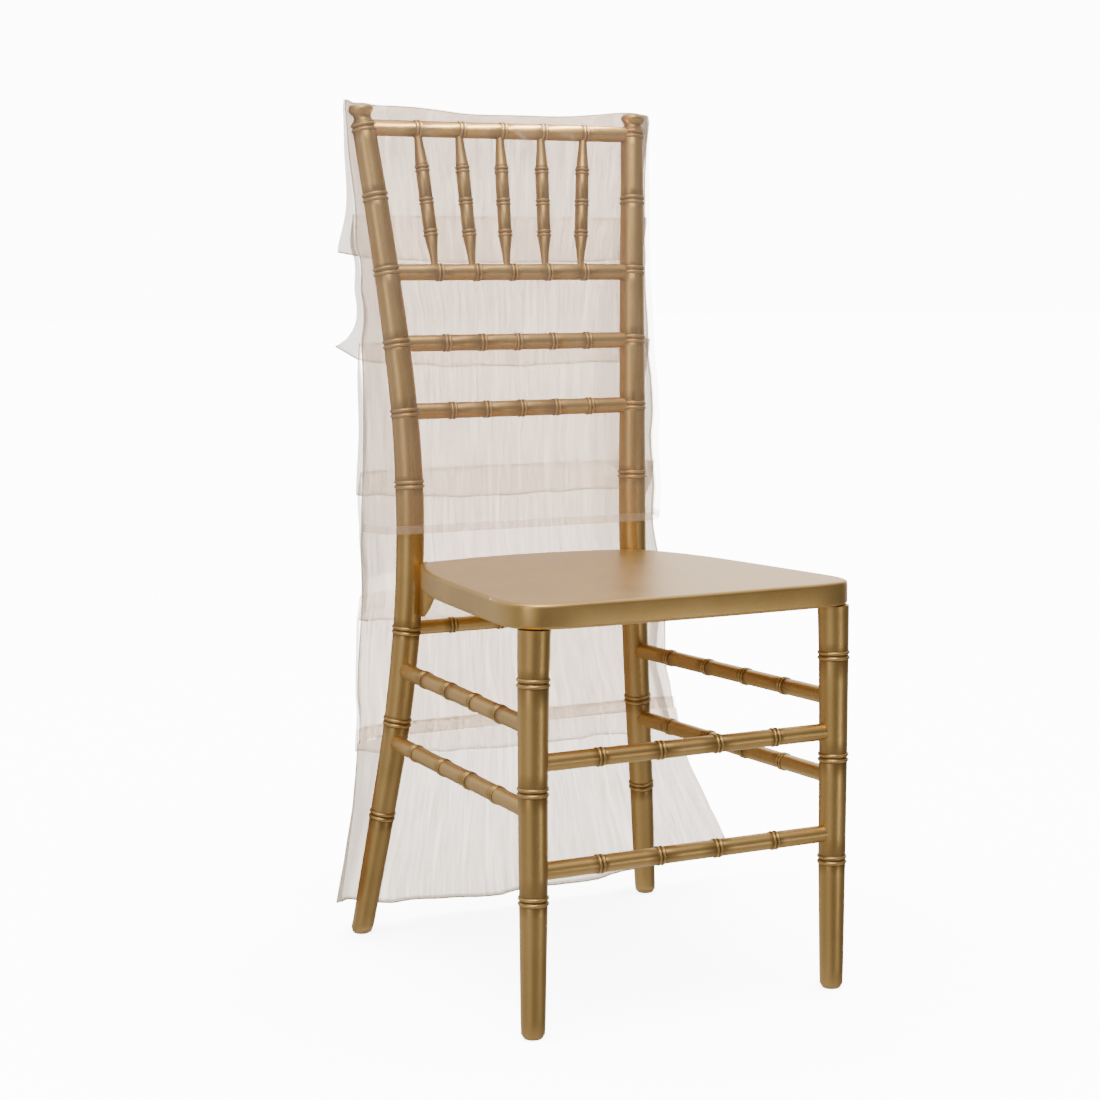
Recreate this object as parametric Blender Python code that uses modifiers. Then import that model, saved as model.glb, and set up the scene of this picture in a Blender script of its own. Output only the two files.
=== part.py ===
"""A bamboo-turned banquet chair wearing a sheer slip-over back cover with six tiers.

Metres, +Z up. The chair stands on its four feet and faces -Y. Every shape below is drawn in the
chair's own coordinates: x = 0 on its middle plane, y = 0 on the front legs, z = 0 on the floor.
An empty then carries all of it so that the middle of the whole box stands over the origin.
"""

import math

import bmesh
import bpy
from mathutils import Matrix, Vector

# Where the chair's own origin stands in the shared frame.
CHAIR_PLACE = (-0.0439, -0.2130, 0.0)

GAP = 0.0003
SHEET = 0.0012
CLEAR = 0.0014

# Rear posts: height, half spacing, depth and radius. They rake back above the seat and below it.
POST_ROWS = (
    # z, x, y, radius
    (0.0000, 0.1820, 0.4139, 0.0121),
    (0.0660, 0.1735, 0.4030, 0.0128),
    (0.1379, 0.1642, 0.3911, 0.0135),
    (0.2440, 0.1511, 0.3761, 0.0145),
    (0.3460, 0.1422, 0.3670, 0.0149),
    (0.4250, 0.1384, 0.3637, 0.0152),
    (0.5057, 0.1380, 0.3639, 0.0153),
    (0.5831, 0.1406, 0.3678, 0.0146),
    (0.6574, 0.1450, 0.3763, 0.0139),
    (0.7353, 0.1510, 0.3872, 0.0132),
    (0.8148, 0.1579, 0.3989, 0.0127),
    (0.8907, 0.1648, 0.4115, 0.0122),
    (0.9122, 0.1675, 0.4138, 0.0120),
)
POST_RINGS = (0.1379, 0.2440, 0.3460, 0.5057, 0.5831, 0.6574, 0.7353, 0.8148, 0.8895)
POST_STEPS = (0.030, 0.190, 0.295, 0.385, 0.425, 0.465, 0.545, 0.620, 0.697, 0.775, 0.850)
FINIAL_ROWS = (
    # z, radius
    (0.8960, 0.0108),
    (0.8995, 0.0103),
    (0.9040, 0.0124),
    (0.9078, 0.0126),
    (0.9104, 0.0104),
    (0.9119, 0.0050),
)
FINIAL_RADIUS = max(radius for _, radius in FINIAL_ROWS)
FOOT_TIP = 0.0095
FOOT_RADIUS = 0.0121
FOOT_CHAMFER = 0.005

# Front legs: height, half spacing and radius.
LEG_ROWS = (
    # z, x, radius
    (FOOT_CHAMFER, 0.1710, FOOT_RADIUS),
    (0.1352, 0.1701, 0.0139),
    (0.2410, 0.1703, 0.0144),
    (0.3458, 0.1695, 0.0152),
    (0.3965, 0.1684, 0.0160),
)
LEG_RINGS = (0.1352, 0.2410, 0.3458)
# Both front feet stand this far to the left of where the legs meet the seat.
LEG_LEAN = 0.0018

# Turned rings: a collar on the stick, half as long as this each way, and this much prouder.
POST_RING = (0.0050, 0.0013)
RAIL_RING = (0.0042, 0.0011)

# Back rails: height, radius and how far each side ring pair stands from the middle.
RAILS = (
    # name, z, radius, outer ring, inner ring
    ("top_rail", 0.8898, 0.0088, 0.1033, 0.0505),
    ("second_rail", 0.7345, 0.0085, 0.0893, 0.0440),
    ("third_rail", 0.6576, 0.0085, 0.0866, 0.0435),
    ("fourth_rail", 0.5843, 0.0084, 0.0846, 0.0428),
)
SPINDLE_TOPS = (-0.1027, -0.0530, -0.0030, 0.0480, 0.1018)
SPINDLE_FEET = (-0.0932, -0.0482, -0.0065, 0.0408, 0.0850)
SPINDLE_RINGS = (0.8467, 0.8113, 0.7770)
SPINDLE_BODY = 0.0068
SPINDLE_END = 0.0040
SPINDLE_TIP = 0.0090

# Rungs under the seat.
FRONT_RUNGS = (("front_rung_upper", 0.2675), ("front_rung_lower", 0.1622))
FRONT_RUNG_RADIUS = 0.0081
FRONT_RUNG_RINGS = (0.0990, 0.0325)
SIDE_RUNGS = (
    # name, height, and the depth of each ring pair
    ("side_rung_upper", 0.3015, (0.2961, 0.2220, 0.1510, 0.0818)),
    ("side_rung_lower", 0.2203, (0.3081, 0.2276, 0.1574, 0.0853)),
)
SIDE_RUNG_RADIUS = 0.0077
REAR_RUNG = ("rear_rung", 0.3474, 0.0080, 0.0880, 0.0290)

# Seat board: half outline from the middle of the front edge round to the middle of the rear edge.
SEAT_UNDER = 0.3972
SEAT_THICK = 0.0245
SEAT_ROUND = 0.0022
SEAT_HALF = (
    # x, y
    (0.0000, -0.0250),
    (0.0900, -0.0230),
    (0.1500, -0.0200),
    (0.1795, -0.0080),
    (0.1905, 0.0200),
    (0.1875, 0.0700),
    (0.1825, 0.1200),
    (0.1755, 0.1850),
    (0.1680, 0.2400),
    (0.1560, 0.2900),
    (0.1400, 0.3290),
    (0.1235, 0.3490),
    (0.1000, 0.3550),
    (0.0500, 0.3650),
    (0.0000, 0.3680),
)
BRACKET_X = (0.1160, 0.1350)
BRACKET_Y = (0.3400, 0.3660)
BRACKET_Z = (0.3620, 0.3965, 0.4200)
BRACKET_TOE = 0.0045

# The cover. Each row is a level of the back panel: where its left and right edges stand, how wide
# the turn is that brings the cloth from its flat middle to that edge, and the depth of the middle.
COVER_ROWS = (
    # z, left x, left y, left turn, right x, right y, right turn, middle y
    (0.9080, -0.1850, 0.4125, 0.0170, 0.1870, 0.4125, 0.0170, 0.4291),
    (0.8150, -0.1820, 0.4110, 0.0230, 0.1830, 0.4110, 0.0230, 0.4311),
    (0.7350, -0.1750, 0.4060, 0.0400, 0.1800, 0.4060, 0.0400, 0.4319),
    (0.6350, -0.1745, 0.4006, 0.0550, 0.1775, 0.4006, 0.0550, 0.4326),
    (0.5700, -0.1755, 0.3967, 0.0600, 0.1790, 0.3967, 0.0600, 0.4327),
    (0.4550, -0.1800, 0.3950, 0.0600, 0.1800, 0.3960, 0.0600, 0.4320),
    (0.3730, -0.1780, 0.3995, 0.0580, 0.1905, 0.4035, 0.0600, 0.4315),
    (0.2350, -0.1815, 0.4065, 0.0500, 0.2185, 0.4230, 0.0500, 0.4310),
    (0.1500, -0.1900, 0.3968, 0.0420, 0.2435, 0.4348, 0.0500, 0.4318),
    (0.0970, -0.1990, 0.3925, 0.0380, 0.2700, 0.4385, 0.0550, 0.4338),
    (0.0470, -0.2080, 0.3888, 0.0330, 0.2965, 0.4438, 0.0600, 0.4358),
    (0.0000, -0.2150, 0.3869, 0.0330, 0.3200, 0.4469, 0.0600, 0.4369),
)
# The sewn top edge of the cover sags between the two finials.
TOP_EDGE = (
    # x, z
    (-0.187, 0.9172),
    (-0.176, 0.9154),
    (-0.158, 0.9152),
    (-0.129, 0.9130),
    (-0.105, 0.9123),
    (-0.079, 0.9103),
    (-0.038, 0.9068),
    (0.077, 0.9073),
    (0.120, 0.9104),
    (0.150, 0.9136),
    (0.160, 0.9154),
    (0.178, 0.9152),
    (0.190, 0.9100),
)
TOP_RIDGE_Y = 0.4150
SHOULDER = 0.0100
FRONT_FLAT = 0.0040
POCKET_HEM = 0.4530
PANEL_HEM = 0.2160
COLUMNS = 30
FLAT_SHARE = 20 / 30
FRONT_ROWS = 13
BACK_ROWS = 17
BENT_ROWS = 3

# Six tiers, each sewn on by its top edge, over the top of the next one down.
TIERS = (
    # name, seam z, hem z at the left, middle and right, seam lift, lift, wave, folds, phase, left and
    # right flare, and how far round the turn the two side edges reach, in degrees
    ("tier_1", 0.0, 0.757, 0.746, 0.750, 0.0020, 0.013, 0.0020, 5.2, 0.4, 0.012, 0.003, 50.0),
    ("tier_2", 0.797, 0.651, 0.629, 0.631, 0.0020, 0.012, 0.0024, 6.1, 1.7, 0.020, 0.002, 50.0),
    ("tier_3", 0.658, 0.492, 0.481, 0.483, 0.0023, 0.012, 0.0024, 5.6, 2.9, -0.002, 0.0, 50.0),
    ("tier_4", 0.517, 0.349, 0.343, 0.345, 0.0026, 0.012, 0.0026, 6.4, 4.2, -0.002, 0.0, 42.0),
    ("tier_5", 0.381, 0.205, 0.188, 0.188, 0.0026, 0.012, 0.0028, 6.0, 5.3, -0.003, 0.002, 46.0),
    ("tier_6", 0.231, 0.046, 0.014, 0.047, 0.0026, 0.004, 0.0044, 5.4, 0.9, 0.000, 0.000, 90.0),
)
RIDGE_LIFT = 0.0016
SEAM_HALF_GAP = 0.0008

GOLD = (0.42, 0.27, 0.105, 1.0)
IVORY = (0.80, 0.77, 0.72, 1.0)


def cleared_scene():
    """Empties the scene and returns the collection for the model and the one for its cutters."""
    for old in list(bpy.data.objects):
        bpy.data.objects.remove(old, do_unlink=True)
    found = []
    for name in ("chair_with_cover", "cutters"):
        collection = bpy.data.collections.new(name)
        bpy.context.scene.collection.children.link(collection)
        found.append(collection)
    found[1].hide_render = True
    return found


def finish(name, color, roughness, metallic):
    """A plain material of this colour, roughness and metal value."""
    material = bpy.data.materials.new(name)
    material.use_nodes = True
    shader = material.node_tree.nodes["Principled BSDF"]
    shader.inputs["Base Color"].default_value = color
    shader.inputs["Roughness"].default_value = roughness
    shader.inputs["Metallic"].default_value = metallic
    material.diffuse_color = color
    return material


def between(rows, at, column):
    """The value in this column of rows, read off at this place along their first column."""
    rows = sorted(rows)
    if at <= rows[0][0]:
        return rows[0][column]
    for low, high in zip(rows, rows[1:]):
        if at <= high[0]:
            share = (at - low[0]) / (high[0] - low[0])
            return low[column] + share * (high[column] - low[column])
    return rows[-1][column]


def smooth_between(rows, at, column):
    """The same along a curve that passes through every row without a corner."""
    rows = sorted(rows)
    at = min(max(at, rows[0][0]), rows[-1][0])
    index = max(i for i in range(len(rows) - 1) if rows[i][0] <= at)
    low, high = rows[index], rows[index + 1]
    before = rows[max(index - 1, 0)]
    after = rows[min(index + 2, len(rows) - 1)]
    span = high[0] - low[0]
    share = (at - low[0]) / span
    slope_low = (high[column] - before[column]) / (high[0] - before[0]) * span
    slope_high = (after[column] - low[column]) / (after[0] - low[0]) * span
    return (
        (2 * share**3 - 3 * share**2 + 1) * low[column]
        + (share**3 - 2 * share**2 + share) * slope_low
        + (3 * share**2 - 2 * share**3) * high[column]
        + (share**3 - share**2) * slope_high
    )


def collar(at, radius, ring):
    """The stations of one turned ring pair, as (place, radius) rows."""
    half, height = ring
    return [
        (at - half, radius),
        (at - half * 0.7, radius + height),
        (at + half * 0.7, radius + height),
        (at + half, radius),
    ]


def turned(name, stations, sides, collection, material=None):
    """A round stick through (point, radius) stations, with closed ends, as a mesh object."""
    curve = bpy.data.curves.new(name, "CURVE")
    curve.dimensions = "3D"
    curve.twist_mode = "MINIMUM"
    curve.bevel_depth = 1.0
    curve.bevel_resolution = (sides - 4) // 2
    curve.use_fill_caps = True
    spline = curve.splines.new("POLY")
    spline.points.add(len(stations) - 1)
    for point, (place, radius) in zip(spline.points, stations):
        point.co = (*place, 1.0)
        point.radius = radius
    drawn = bpy.data.objects.new(name + "_curve", curve)
    bpy.context.scene.collection.objects.link(drawn)
    graph = bpy.context.evaluated_depsgraph_get()
    mesh = bpy.data.meshes.new_from_object(drawn.evaluated_get(graph))
    bpy.data.objects.remove(drawn)
    bpy.data.curves.remove(curve)
    work = bmesh.new()
    work.from_mesh(mesh)
    bmesh.ops.remove_doubles(work, verts=work.verts, dist=1e-6)
    bmesh.ops.recalc_face_normals(work, faces=work.faces)
    work.to_mesh(mesh)
    work.free()
    return placed(name, mesh, collection, material)


def placed(name, mesh, collection, material):
    """An object of this mesh in this collection, smooth and with this material."""
    mesh.materials.clear()
    if material:
        mesh.materials.append(material)
    mesh.shade_smooth()
    obj = bpy.data.objects.new(name, mesh)
    collection.objects.link(obj)
    return obj


def cut(obj, *cutters):
    """Takes each cutter's shape out of the object."""
    for cutter in cutters:
        modifier = obj.modifiers.new("cut_" + cutter.name, "BOOLEAN")
        modifier.operation = "DIFFERENCE"
        modifier.solver = "EXACT"
        modifier.object = cutter


def post_point(z, side):
    return Vector((side * smooth_between(POST_ROWS, z, 1), smooth_between(POST_ROWS, z, 2), z))


def post_radius(z):
    return between(POST_ROWS, z, 3)


def post_stations(side, grow=0.0):
    """A rear post from its chamfered foot to its finial; grow makes the cutter for what meets it."""
    rows = [(z, post_radius(z)) for z in POST_STEPS]
    for z in POST_RINGS:
        rows += collar(z, post_radius(z), POST_RING)
    rows += FINIAL_ROWS
    foot = post_point(0.0, side)
    stations = [(foot, FOOT_TIP + grow), (foot + Vector((0.0, 0.0, FOOT_CHAMFER)), FOOT_RADIUS + grow)]
    return stations + [(post_point(z, side), radius + grow) for z, radius in sorted(rows)]


def leg_point(z, side):
    lean = LEG_LEAN * (1.0 - z / LEG_ROWS[-1][0])
    return Vector((side * between(LEG_ROWS, z, 1) - lean, 0.0, z))


def leg_stations(side, grow=0.0):
    """A front leg from its chamfered foot to the underside of the seat."""
    rows = [(z, radius) for z, _, radius in LEG_ROWS if z not in LEG_RINGS]
    for z in LEG_RINGS:
        rows += collar(z, between(LEG_ROWS, z, 2), POST_RING)
    foot = leg_point(FOOT_CHAMFER, side) - Vector((0.0, 0.0, FOOT_CHAMFER))
    stations = [(foot, FOOT_TIP + grow)]
    return stations + [(leg_point(z, side), radius + grow) for z, radius in sorted(rows)]


def straight_stations(start, end, radius, rings, grow=0.0):
    """A straight stick from start to end; rings are shares of its length."""
    length = (end - start).length
    rows = [(0.0, radius), (length, radius)]
    for share in rings:
        rows += collar(share * length, radius, RAIL_RING)
    return [(start.lerp(end, at / length), r + grow) for at, r in sorted(rows)]


def rail_stations(row, grow=0.0):
    """A back rail, or the rear rung, between the two rear posts."""
    _, z, radius, outer, inner = row
    half = post_point(z, 1).x
    rings = [0.5 + x / (2 * half) for x in (-outer, -inner, inner, outer)]
    if row in RAILS:
        rings.append(0.5)
    return straight_stations(post_point(z, -1), post_point(z, 1), radius, rings, grow)


def spindle_stations(top_x, foot_x):
    """A spindle, tapered towards both rails, with three ring pairs."""
    top_rail, second_rail = RAILS[0], RAILS[1]
    top = Vector((top_x, post_point(top_rail[1], 1).y, top_rail[1]))
    foot = Vector((foot_x, post_point(second_rail[1], 1).y, second_rail[1]))
    rows = [(foot.z, SPINDLE_END), (foot.z + SPINDLE_TIP, SPINDLE_END)]
    rows += [(top.z - SPINDLE_TIP, SPINDLE_END), (top.z, SPINDLE_END)]
    for z in SPINDLE_RINGS:
        rows += collar(z, SPINDLE_BODY, RAIL_RING)
    return [(foot.lerp(top, (z - foot.z) / (top.z - foot.z)), r) for z, r in sorted(rows)]


def seat_board(name, collection, material=None, grow=0.0):
    """The flat board: a closed outline with a softened edge."""
    curve = bpy.data.curves.new(name, "CURVE")
    curve.dimensions = "2D"
    curve.fill_mode = "BOTH"
    curve.resolution_u = 3
    curve.bevel_depth = SEAT_ROUND
    curve.bevel_resolution = 0
    curve.extrude = SEAT_THICK / 2 - SEAT_ROUND + grow
    curve.offset = grow - SEAT_ROUND
    mirrored = [(-x, y) for x, y in SEAT_HALF[-2:0:-1]]
    outline = list(SEAT_HALF) + mirrored
    spline = curve.splines.new("BEZIER")
    spline.bezier_points.add(len(outline) - 1)
    spline.use_cyclic_u = True
    for point, (x, y) in zip(spline.bezier_points, outline):
        point.co = (x, y, 0.0)
        point.handle_left_type = "AUTO"
        point.handle_right_type = "AUTO"
    drawn = bpy.data.objects.new(name + "_curve", curve)
    bpy.context.scene.collection.objects.link(drawn)
    graph = bpy.context.evaluated_depsgraph_get()
    mesh = bpy.data.meshes.new_from_object(drawn.evaluated_get(graph))
    bpy.data.objects.remove(drawn)
    bpy.data.curves.remove(curve)
    mesh.transform(Matrix.Translation((0.0, 0.0, SEAT_UNDER + SEAT_THICK / 2)))
    work = bmesh.new()
    work.from_mesh(mesh)
    bmesh.ops.remove_doubles(work, verts=work.verts, dist=1e-6)
    bmesh.ops.recalc_face_normals(work, faces=work.faces)
    work.to_mesh(mesh)
    work.free()
    obj = placed(name, mesh, collection, material)
    obj.data.shade_flat()
    return obj


def seat_bracket(name, side, collection, material):
    """The block that ties the seat's rear corner to the post, tapered to a toe below."""
    work = bmesh.new()
    bmesh.ops.create_cube(work, size=1.0)
    low, knee, high = BRACKET_Z
    middle = [v for v in work.verts if v.co.z < 0]
    for v in work.verts:
        v.co.x = side * (BRACKET_X[1] if v.co.x > 0 else BRACKET_X[0])
        v.co.y = BRACKET_Y[1] if v.co.y > 0 else BRACKET_Y[0]
        v.co.z = high if v.co.z > 0 else knee
    under = [f for f in work.faces if all(v in middle for v in f.verts)]
    grown = bmesh.ops.extrude_face_region(work, geom=under)["geom"]
    bmesh.ops.delete(work, geom=under, context="FACES")
    for v in (v for v in grown if isinstance(v, bmesh.types.BMVert)):
        v.co.z = low
        if abs(v.co.x) < sum(BRACKET_X) / 2:
            v.co.x = side * (BRACKET_X[1] - BRACKET_TOE)
        if v.co.y < sum(BRACKET_Y) / 2:
            v.co.y = BRACKET_Y[1] - BRACKET_TOE
    bmesh.ops.recalc_face_normals(work, faces=work.faces)
    mesh = bpy.data.meshes.new(name)
    work.to_mesh(mesh)
    work.free()
    obj = placed(name, mesh, collection, material)
    obj.data.shade_flat()
    return obj


def cover_level(z):
    """Left x, y and turn, right x, y and turn, and the middle's y at this height."""
    return [smooth_between(COVER_ROWS, z, column) for column in range(1, 8)]


def across(share, left_turn, left_x, right_x, right_turn):
    """Where a column stands: its x in the flat middle, its side, and its angle round the turn."""
    low, high = left_x + left_turn, right_x - right_turn
    if abs(share) <= FLAT_SHARE:
        return low + (high - low) * (share / FLAT_SHARE + 1) / 2, 0, 0.0
    return (low if share < 0 else high), math.copysign(1, share), (abs(share) - FLAT_SHARE) / (1 - FLAT_SHARE)


def back_point(share, z, lift=0.0, reach=90.0, left_flare=0.0, right_flare=0.0):
    """A point of the cover's back at this share across (-1 to 1), this far outside the panel."""
    left_x, left_y, left_turn, right_x, right_y, right_turn, middle = cover_level(z)
    x, side, angle = across(share, left_turn, left_x, right_x, right_turn)
    if not side:
        return Vector((x, middle + lift, z))
    angle = math.radians(angle * reach)
    turn, edge_y, flare = (
        (left_turn, left_y, left_flare) if side < 0 else (right_turn, right_y, right_flare)
    )
    x += side * ((turn + lift) * math.sin(angle) + flare * math.sin(angle) ** 2)
    y = edge_y + SEAM_HALF_GAP + (middle + lift - edge_y - SEAM_HALF_GAP) * math.cos(angle)
    return Vector((x, y, z))


def front_point(share, z):
    """A point of the front panel, which lies on the fronts of the posts and turns round them."""
    left_x, left_y, _, right_x, right_y, _, _ = cover_level(z)
    z_on_post = min(z, POST_ROWS[-2][0])
    post = post_point(z, 1)
    reach = max(post_radius(z_on_post), FINIAL_RADIUS if z > z_on_post else 0.0)
    face = post.y - reach - POST_RING[1] - CLEAR - SHEET / 2
    start = post.x + FRONT_FLAT
    x, side, angle = across(share, -start - left_x, left_x, right_x, right_x - start)
    if not side:
        return Vector((x, face, z))
    angle = math.radians(angle * 90.0)
    edge_x, edge_y = (-left_x, left_y) if side < 0 else (right_x, right_y)
    x += side * (edge_x - start) * math.sin(angle)
    return Vector((x, edge_y - SEAM_HALF_GAP - (edge_y - face) * math.cos(angle), z))


def over_the_top(point, rise, half_gap, lift=0.0):
    """Bends a point near the top edge towards the sewn ridge: rise is 0 at the shoulder, 1 at the ridge."""
    top = between(TOP_EDGE, point.x, 1)
    bend = math.radians(90.0 * rise)
    ridge = TOP_RIDGE_Y + half_gap
    y = ridge + (point.y - ridge) * math.cos(bend)
    return Vector((point.x, y, top - SHOULDER + (SHOULDER + lift) * math.sin(bend)))


def hung_sheet(name, rows, place, collection, material):
    """A sheet of cloth: a grid whose points stand where place(share across, share down) says."""
    work = bmesh.new()
    bmesh.ops.create_grid(work, x_segments=COLUMNS, y_segments=rows, size=1.0)
    for vertex in work.verts:
        vertex.co = place(vertex.co.x, (1.0 - vertex.co.y) / 2)
    mesh = bpy.data.meshes.new(name)
    work.to_mesh(mesh)
    work.free()
    obj = placed(name, mesh, collection, material)
    modifier = obj.modifiers.new("thickness", "SOLIDIFY")
    modifier.thickness = SHEET
    modifier.offset = 0.0
    modifier.use_even_offset = False
    return obj


def down_from_top(down, bent_rows, rows):
    """Splits a column that starts at the ridge: (rise, None) over the shoulder, (0, share) below it."""
    step = round(down * rows)
    if step < bent_rows:
        return 1.0 - step / bent_rows, None
    return 0.0, (step - bent_rows) / (rows - bent_rows)


def front_panel(collection, material):
    """The cover's front: over the ridge, down the posts, and ending in a hem above the seat."""

    def place(share, down):
        rise, below = down_from_top(down, BENT_ROWS, FRONT_ROWS)
        guess = front_point(share, COVER_ROWS[0][0])
        start = between(TOP_EDGE, guess.x, 1) - SHOULDER
        if below is None:
            return over_the_top(front_point(share, start), rise, -SEAM_HALF_GAP)
        sag = 0.0010 * math.sin(9 * share + 1.0) * below * (abs(share) < FLAT_SHARE)
        point = front_point(share, start + (POCKET_HEM - start) * below)
        return point - Vector((0.0, max(sag, 0.0), 0.0))

    return hung_sheet("front_panel", FRONT_ROWS, place, collection, material)


def back_panel(collection, material):
    """The cover's back: from the ridge down to where the last tier hangs."""

    def place(share, down):
        rise, below = down_from_top(down, BENT_ROWS, BACK_ROWS)
        guess = back_point(share, COVER_ROWS[0][0])
        start = between(TOP_EDGE, guess.x, 1) - SHOULDER
        if below is None:
            return over_the_top(back_point(share, start), rise, SEAM_HALF_GAP)
        return back_point(share, start + (PANEL_HEM - start) * below)

    return hung_sheet("back_panel", BACK_ROWS, place, collection, material)


def tier(row, collection, material):
    """One tier: sewn along its top, free at its sides and hem, with soft uneven folds."""
    name, seam, hem_left, hem_middle, hem_right, seam_lift, lift, wave, folds, phase = row[:10]
    left_flare, right_flare, reach = row[10:]
    from_ridge = seam == 0.0
    rows = {"tier_1": 7, "tier_6": 9}.get(name, 6)

    def hem_at(share):
        side = hem_left if share < 0 else hem_right
        return hem_middle + (side - hem_middle) * share * share

    def fold(share, down):
        depth = math.sin(folds * math.pi * share + phase) + 0.6 * math.sin(
            (folds * 1.7) * math.pi * share + 2.1 * phase
        )
        return wave * depth * down**1.3

    def place(share, down):
        if from_ridge:
            start = between(TOP_EDGE, back_point(share, COVER_ROWS[0][0]).x, 1) - SHOULDER
            rise, below = down_from_top(down, BENT_ROWS, rows)
            if below is None:
                point = back_point(share, start, seam_lift)
                return over_the_top(point, rise, SEAM_HALF_GAP, RIDGE_LIFT)
        else:
            start, below = seam, down
        z = start + (hem_at(share) - start) * below
        out = seam_lift + lift * below ** (1.6 if from_ridge else 0.8)
        edge_reach = reach + (90.0 - reach) * (1 - below) ** 3
        tip = below**6
        point = back_point(share, z, out, edge_reach, left_flare * tip, right_flare * tip)
        return point + Vector((0.0, fold(share, below), 0.0))

    return hung_sheet(name, rows, place, collection, material)


def main():
    model, cutters = cleared_scene()
    gold = finish("gold_paint", GOLD, 0.38, 0.85)
    chiffon = finish("ivory_crinkle_chiffon", IVORY, 0.85, 0.0)

    post_cutters = []
    leg_cutters = []
    for side, word in ((-1, "left"), (1, "right")):
        turned(f"rear_post_{word}", post_stations(side), 8, model, gold)
        turned(f"front_leg_{word}", leg_stations(side), 10, model, gold)
        post_cutters.append(turned(f"post_cutter_{word}", post_stations(side, GAP), 8, cutters))
        leg_cutters.append(turned(f"leg_cutter_{word}", leg_stations(side, GAP), 10, cutters))

    rail_cutters = []
    for row in RAILS:
        rail = turned(row[0], rail_stations(row), 8, model, gold)
        cut(rail, *post_cutters)
    for row in RAILS[:2]:
        rail_cutters.append(turned(row[0] + "_cutter", rail_stations(row, GAP), 8, cutters))
    cut(turned(REAR_RUNG[0], rail_stations(REAR_RUNG), 8, model, gold), *post_cutters)

    for number, (top_x, foot_x) in enumerate(zip(SPINDLE_TOPS, SPINDLE_FEET), 1):
        spindle = turned(f"spindle_{number}", spindle_stations(top_x, foot_x), 6, model, gold)
        cut(spindle, *rail_cutters)

    for name, z in FRONT_RUNGS:
        half = between(LEG_ROWS, z, 1)
        rings = [0.5 + x / (2 * half) for x in (*FRONT_RUNG_RINGS, *(-x for x in FRONT_RUNG_RINGS))]
        ends = leg_point(z, -1), leg_point(z, 1)
        rung = turned(name, straight_stations(*ends, FRONT_RUNG_RADIUS, rings), 8, model, gold)
        cut(rung, *leg_cutters)

    for name, z, ring_depths in SIDE_RUNGS:
        for index, (side, word) in enumerate(((-1, "left"), (1, "right"))):
            front = leg_point(z, side)
            rear = post_point(z, side)
            rings = [depth / rear.y for depth in ring_depths]
            stations = straight_stations(front, rear, SIDE_RUNG_RADIUS, rings)
            rung = turned(f"{name}_{word}", stations, 8, model, gold)
            cut(rung, leg_cutters[index], post_cutters[index])

    seat_board("seat", model, gold)
    seat_cutter = seat_board("seat_cutter", cutters, grow=GAP)
    for index, (side, word) in enumerate(((-1, "left"), (1, "right"))):
        bracket = seat_bracket(f"seat_bracket_{word}", side, model, gold)
        cut(bracket, post_cutters[index], seat_cutter)

    front_panel(model, chiffon)
    back_panel(model, chiffon)
    for row in TIERS:
        tier(row, model, chiffon)

    for cutter in cutters.objects:
        cutter.hide_render = True
        cutter.display_type = "WIRE"
    carrier = bpy.data.objects.new("chair_place", None)
    carrier.location = CHAIR_PLACE
    model.objects.link(carrier)
    for obj in (*model.objects, *cutters.objects):
        if obj is not carrier:
            obj.parent = carrier


main()
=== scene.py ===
import math

import bmesh
import bpy
import numpy as np
from mathutils import Matrix, Vector


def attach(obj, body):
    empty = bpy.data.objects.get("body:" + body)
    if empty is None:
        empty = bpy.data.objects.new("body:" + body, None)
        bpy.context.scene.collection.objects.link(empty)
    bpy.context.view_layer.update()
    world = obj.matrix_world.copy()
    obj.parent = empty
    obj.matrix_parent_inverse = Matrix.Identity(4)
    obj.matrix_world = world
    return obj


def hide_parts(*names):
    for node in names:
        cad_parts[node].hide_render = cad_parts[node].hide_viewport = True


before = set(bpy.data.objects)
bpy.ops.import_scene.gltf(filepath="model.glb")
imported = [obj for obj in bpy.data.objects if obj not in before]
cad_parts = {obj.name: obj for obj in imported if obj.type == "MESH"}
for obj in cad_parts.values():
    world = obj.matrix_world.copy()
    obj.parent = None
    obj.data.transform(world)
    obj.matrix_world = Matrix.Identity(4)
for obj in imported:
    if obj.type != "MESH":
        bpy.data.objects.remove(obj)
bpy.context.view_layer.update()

# The camera stands low in front of the chair, to its right hand, and looks slightly down at it.
# CHAIR_PLACE is the point of the floor midway between the front legs, and every piece is measured
# from there.
CHAIR_PLACE = Vector((-0.0439, -0.2130, 0.0))
CAMERA_AT = Vector((-1.09899, -1.87842, 0.71071))
CAMERA_YAW = math.radians(26.777)
CAMERA_PITCH = math.radians(-6.513)
CAMERA_ROLL = math.radians(-0.388)
FOCAL_PIXELS = 2250.36
FRAME_PIXELS = 1100.0
SENSOR_MM = 36.0

forward = Vector((
    math.sin(CAMERA_YAW) * math.cos(CAMERA_PITCH),
    math.cos(CAMERA_YAW) * math.cos(CAMERA_PITCH),
    math.sin(CAMERA_PITCH),
))
level_right = Vector((math.cos(CAMERA_YAW), -math.sin(CAMERA_YAW), 0.0))
level_up = level_right.cross(forward)
right = math.cos(CAMERA_ROLL) * level_right + math.sin(CAMERA_ROLL) * level_up
up = math.cos(CAMERA_ROLL) * level_up - math.sin(CAMERA_ROLL) * level_right
lens = bpy.data.cameras.new("camera")
lens.sensor_width = SENSOR_MM
lens.lens = SENSOR_MM * FOCAL_PIXELS / FRAME_PIXELS
camera = bpy.data.objects.new("camera", lens)
camera.matrix_world = Matrix.Translation(CAMERA_AT + CHAIR_PLACE) @ Matrix(
    (right, up, -forward)
).transposed().to_4x4()
bpy.context.scene.collection.objects.link(camera)
bpy.context.scene.camera = camera


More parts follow.
